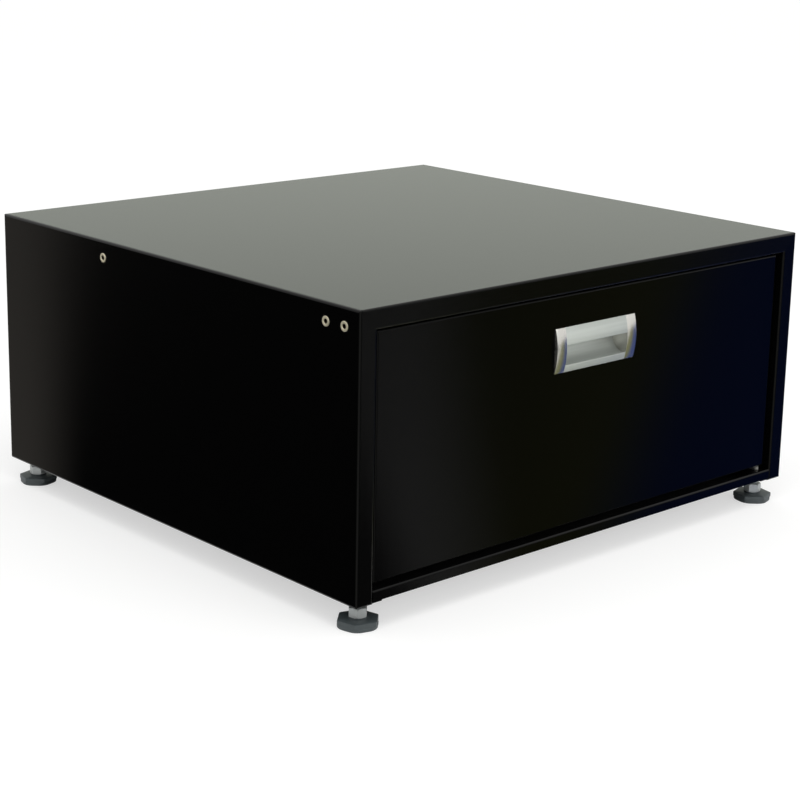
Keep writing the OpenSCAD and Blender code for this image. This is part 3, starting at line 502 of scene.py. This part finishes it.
class PED_OT_cabinet(bpy.types.Operator):
    """Powder coats the cabinet's sheets, its inner frame and the welds at its sill, and finishes the
    sill's bumper."""
    bl_idname = "ped.cabinet"
    bl_label = "Cabinet"

    def execute(self, context):
        coat = props("ped_coat")
        # bend is how strongly the painted highlight pales the bends
        sides = powder_coat("powder_coat_gloss_black", coat.coat, roughness=0.14, bend=0.6)
        top = powder_coat("powder_coat_dusty_top", coat.coat, roughness=0.18, bend=0.5, dust=0.03,
                          waviness=0.03)
        inside = powder_coat("powder_coat_inside", coat.inside, roughness=0.4)
        dress(top, "top_panel")
        dress(sides, *pair("side_panel"), "front_sill", "back_panel")
        dress(inside, "rear_cross_rail", "top_hat_front", "top_hat_middle", "top_hat_rear",
              *pair("slide_carrier"), *[f"foot_plate_{foot}" for foot in FEET])
        dress(moulded_plastic("white_nylon", props("ped_plastic").bumper, roughness=0.42, grain=0.6 * MM),
              "sill_bumper")
        low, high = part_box("front_sill")
        start = low[1] + WELD_INSET
        for side, x in (("left", low[0]), ("right", high[0])):
            weld(f"weld_sill_{side}", (x, start, low[2]), (x, start + WELD_LENGTH, low[2]), sides)
        return {"FINISHED"}


class PED_OT_drawer(bpy.types.Operator):
    """Powder coats the drawer's front and its box."""
    bl_idname = "ped.drawer"
    bl_label = "Drawer"

    def execute(self, context):
        coat = props("ped_coat")
        # bend is how strongly the painted highlight pales the drawer front's bends
        front = powder_coat("powder_coat_drawer_front", coat.coat, roughness=0.12, bend=0.7)
        box = powder_coat("powder_coat_drawer_box", coat.inside, roughness=0.3)
        dress(front, "drawer_front")
        dress(box, "drawer_liner", *pair("drawer_side"), "drawer_back", "drawer_bottom")
        return {"FINISHED"}


class PED_OT_slides(bpy.types.Operator):
    """Plates the slides, their cages and balls, and the screws."""
    bl_idname = "ped.slides"
    bl_label = "Slides and screws"

    def execute(self, context):
        metal = props("ped_metal")
        zinc = zinc_plating("bright_zinc_rolled_steel", metal.zinc, roughness=0.34)
        polished = zinc_plating("hardened_steel_balls", metal.balls, roughness=0.12)
        dark = zinc_plating("black_zinc_screws", metal.black_zinc, roughness=0.4)
        for part in ("slide_outer", "slide_middle", "slide_inner", "outer_cage", "inner_cage"):
            dress(zinc, *pair(part))
        dress(polished, *pair("outer_balls"), *pair("inner_balls"))
        dress(zinc, "carrier_screws", "runner_screws", "pull_screws")
        dress(dark, "back_screws", "drawer_screws")
        return {"FINISHED"}


class PED_OT_rivet_nuts(bpy.types.Operator):
    """Makes the rivet nuts of both side panels."""
    bl_idname = "ped.rivet_nuts"
    bl_label = "Rivet nuts"

    def execute(self, context):
        metal = props("ped_metal")
        plated = zinc_plating("yellow_zinc_rivet_nuts", metal.passivated, roughness=0.4, metallic=0.8)
        # oil on the threads and painted shade of the bore
        thread = zinc_plating("oily_and_shaded_nut_thread", metal.oily_and_shaded_thread, roughness=0.5)
        for side in ("left", "right"):
            rivet_nuts(side, plated, thread)
        return {"FINISHED"}


class PED_OT_pull(bpy.types.Operator):
    """Finishes the flush pull: a satin profile between two plated end caps."""
    bl_idname = "ped.pull"
    bl_label = "Pull"

    def execute(self, context):
        softened("pull_profile", "drawer", satin_aluminium(), width=0.35 * MM)
        chrome = chrome_plating()
        for cap in pair("pull_cap"):
            softened(cap, "drawer", chrome, width=0.4 * MM)
        return {"FINISHED"}


class PED_OT_feet(bpy.types.Operator):
    """Plates the studs, and makes the moulded pads."""
    bl_idname = "ped.feet"
    bl_label = "Feet"

    def execute(self, context):
        stud = zinc_plating("bright_zinc_stud", props("ped_metal").zinc, roughness=0.45, metallic=0.7)
        plastic = moulded_plastic("grey_polyamide", props("ped_plastic").pads, roughness=0.5, grain=0.5 * MM)
        for foot, turn in zip(FEET, PAD_TURNS):
            dress(stud, f"foot_stud_{foot}")
            pad(foot, math.radians(turn), plastic)
        return {"FINISHED"}


class PED_OT_stage(bpy.types.Operator):
    """Sets the floor, the lamps, the surroundings and the camera."""
    bl_idname = "ped.stage"
    bl_label = "Stage"

    def execute(self, context):
        floor()
        cards()
        surroundings()
        lamps()
        camera()
        return {"FINISHED"}


# ---------- stage ----------

def floor():
    """A plain pale floor, far wider than the view. Matt paint: it scatters light and mirrors nothing."""
    bm = bmesh.new()
    bmesh.ops.create_grid(bm, x_segments=1, y_segments=1, size=40)
    material, tree, _ = new_material("matt_floor_paint")
    stage = props("ped_stage")
    # to the eye, part of the floor's white is its own, so that the object's shadow stays a light grey
    seen = seen_rays(tree).outputs[0]
    tone = add(tree, "ShaderNodeMix", settings={"data_type": "RGBA"},
               values={MIX_A: linear(stage.floor), MIX_B: linear(stage.floor_seen)},
               links={MIX_FACTOR: seen})
    paint = add(tree, "ShaderNodeBsdfDiffuse", links={"Color": tone.outputs[MIX_RESULT]})
    lift = add(tree, "ShaderNodeMath", settings={"operation": "MULTIPLY"},
               values={1: stage.floor_glow}, links={0: seen})
    glow = add(tree, "ShaderNodeEmission", links={"Strength": lift.outputs[0]})
    both = add(tree, "ShaderNodeAddShader", links={0: paint.outputs[0], 1: glow.outputs[0]})
    finish_material(tree, both)
    new_piece("floor", bm, material)


def seen_rays(tree):
    """1 for the camera and for what is mirrored or seen through glass, 0 for light on the object."""
    path = add(tree, "ShaderNodeLightPath")
    seen = add(tree, "ShaderNodeMath", settings={"operation": "ADD"},
               links={0: path.outputs["Is Camera Ray"], 1: path.outputs["Is Glossy Ray"]})
    return add(tree, "ShaderNodeMath", settings={"operation": "ADD", "use_clamp": True},
               links={0: seen.outputs[0], 1: path.outputs["Is Transmission Ray"]})


def card(name, corners, colour, edge, fade):
    """A glowing card that only mirrors see: a painted reflection laid round the glossy object. Its colour
    fades in to the right of edge, a line given by a point and its direction."""
    bm = bmesh.new()
    bmesh.ops.contextual_create(bm, geom=[bm.verts.new(corner) for corner in corners])
    material, tree, place = new_material(name)
    (x, y), (along_x, along_y) = edge
    length = math.hypot(along_x, along_y)
    across = add(tree, "ShaderNodeVectorMath", settings={"operation": "DOT_PRODUCT"},
                 values={1: (along_y / length, -along_x / length, 0)}, links={0: place})
    start = (x * along_y - y * along_x) / length
    depth = add(tree, "ShaderNodeMapRange", settings={"interpolation_type": "SMOOTHSTEP"},
                values={"From Min": start, "From Max": start + fade},
                links={"Value": across.outputs["Value"]})
    clear = add(tree, "ShaderNodeBsdfTransparent")
    # painted reflection: the card glows in its colour, seen only by mirrors
    painted_glow = add(tree, "ShaderNodeEmission", values={"Color": linear(colour)})
    mix = add(tree, "ShaderNodeMixShader", links={0: depth.outputs["Result"], 1: clear.outputs[0],
                                                  2: painted_glow.outputs[0]})
    finish_material(tree, mix)
    piece = new_piece(name, bm, material)
    piece.visible_camera = piece.visible_diffuse = piece.visible_transmission = piece.visible_shadow = False


# Corners of the floor in front of the cabinet, and of the floor beside its left side, in metres
FRONT = ((-2.4, -3.0), (3.6, -0.34))
BESIDE = ((-3.2, -1.6), (-0.37, 2.8))
# Painted reflections that the gloss mirrors in the floor: lowest and highest corner of a card, how many
# millimetres it lies over the floor, its colour, a point and the direction of its edge, and the width of the
# fade, in metres
CARDS = {
    "card_front": (*FRONT, 2, "#e2e2e0", ((-3.0, -3.0), (0, 1)), 0.05),
    "card_front_dark": (*FRONT, 3, "#595959", ((0.05, -0.686), (0.573, -0.819)), 0.08),
    "card_front_olive": (*FRONT, 4, "#6c6e38", ((0.13, -0.775), (-0.441, 0.489)), 0.15),
    "card_front_blue": (*FRONT, 5, "#00307c", ((0.2155, -0.543), (-1.105, 0.785)), 0.14),
    "card_side": (*BESIDE, 2, "#aaa49c", ((-3.3, -1.6), (0, 1)), 0.05),
    "card_side_dark": (*BESIDE, 3, "#161617", ((-1.215, 1.682), (0.319, -0.505)), 0.08),
    # painted shadow: a dark card where the floor under the cabinet and to its right is in shade, seen only
    # in mirrors
    "card_painted_shadow_under": ((-0.33, -0.31), (0.8, 0.8), 1, "#303030", ((-0.4, -0.4), (0, 1)), 0.02),
}


def cards():
    """Glowing cards that paint the reflections: pale ones in front and beside the left side, with dark,
    olive and blue ones over them, one that paints the shadow under the cabinet and to its right, and
    one that stands behind."""
    for name, (low, high, height, colour, edge, fade) in CARDS.items():
        z = height * MM
        corners = [(low[0], low[1], z), (high[0], low[1], z), (high[0], high[1], z), (low[0], high[1], z)]
        card(name, corners, colour, edge, fade)
    card("card_behind", [(0.0, 6.7, 0), (6.6, 0.7, 0), (6.6, 0.7, 3), (0.0, 6.7, 3)], "#dde2d8",
         ((-1.0, 8.0), (0.74, -0.67)), 0.05)


def surroundings():
    """A white studio: white to the camera and in mirrors, softer as light on matt surfaces."""
    world = bpy.data.worlds.new("studio")
    bpy.context.scene.world = world
    world.use_nodes = True
    tree = world.node_tree
    tree.nodes.clear()
    strength = add(tree, "ShaderNodeMapRange", values={"To Min": 0.9, "To Max": 1.0},
                   links={"Value": seen_rays(tree).outputs[0]})
    light = add(tree, "ShaderNodeBackground", values={"Color": (1, 1, 1, 1)},
                links={"Strength": strength.outputs["Result"]})
    add(tree, "ShaderNodeOutputWorld", links={"Surface": light.outputs[0]})


def softbox(name, place, aim, size, power):
    """A soft rectangular lamp that points at aim."""
    data = bpy.data.lights.new(name, "AREA")
    data.shape = "RECTANGLE"
    data.size, data.size_y = size
    data.energy = power
    lamp = bpy.data.objects.new(name, data)
    lamp.location = place
    lamp.rotation_euler = (Vector(aim) - Vector(place)).to_track_quat("-Z", "Y").to_euler()
    bpy.context.scene.collection.objects.link(lamp)


# Place, aim, size and power of each lamp, in metres and watts: a large soft one above, and a weak one
# low in front that reaches into the pull's cup
LAMPS = {"softbox_above": ((-0.6, -0.9, 2.6), (0, 0, 0.2), (1.6, 1.2), 14),
         "softbox_front": ((0.1, -2.2, 1.1), (0, -0.33, 0.24), (1.4, 0.8), 9)}


def lamps():
    """The soft lamps of the studio."""
    for name, (place, aim, size, power) in LAMPS.items():
        softbox(name, place, aim, size, power)


def camera():
    """The camera at the photograph's angle."""
    stage = props("ped_stage")
    data = bpy.data.cameras.new("camera")
    data.sensor_width = 36
    data.lens = stage.lens
    data.shift_y = stage.shift
    data.clip_end = 100
    viewpoint = bpy.data.objects.new("camera", data)
    bpy.context.scene.collection.objects.link(viewpoint)
    back = Vector((math.sin(stage.azimuth) * math.cos(stage.elevation),
                   -math.cos(stage.azimuth) * math.cos(stage.elevation), math.sin(stage.elevation)))
    viewpoint.location = Vector((stage.aim_x, 0, stage.aim_z)) + back * stage.distance
    level = (-back).to_track_quat("-Z", "Y").to_matrix()
    viewpoint.rotation_euler = (level @ Matrix.Rotation(stage.roll, 3, "Z")).to_euler()
    bpy.context.scene.camera = viewpoint


# ---------- panel and registration ----------

class PED_PT_panel(bpy.types.Panel):
    """Lists the colours and sizes, and the steps that make and finish the pedestal."""
    bl_idname = "PED_PT_panel"
    bl_label = "Pedestal"
    bl_space_type = "VIEW_3D"
    bl_region_type = "UI"
    bl_category = "Pedestal"

    def draw(self, context):
        for name, group in PROPS.items():
            box = self.layout.box()
            for key in group.__annotations__:
                box.prop(getattr(context.scene, name), key)
        for operator in STEPS:
            self.layout.operator(operator.bl_idname)


STEPS = (PED_OT_cabinet, PED_OT_drawer, PED_OT_slides, PED_OT_rivet_nuts, PED_OT_pull, PED_OT_feet,
         PED_OT_stage)
CLASSES = (*PROPS.values(), *STEPS, PED_PT_panel)


def register():
    for cls in CLASSES:
        bpy.utils.register_class(cls)
    for name, group in PROPS.items():
        setattr(bpy.types.Scene, name, bpy.props.PointerProperty(type=group))


def unregister():
    for name in PROPS:
        delattr(bpy.types.Scene, name)
    for cls in reversed(CLASSES):
        bpy.utils.unregister_class(cls)


def main():
    """Takes every step in order."""
    register()
    bpy.context.scene.view_settings.view_transform = "Standard"
    for step in STEPS:
        group, name = step.bl_idname.split(".")
        getattr(getattr(bpy.ops, group), name)()


if __name__ == "__main__":
    main()
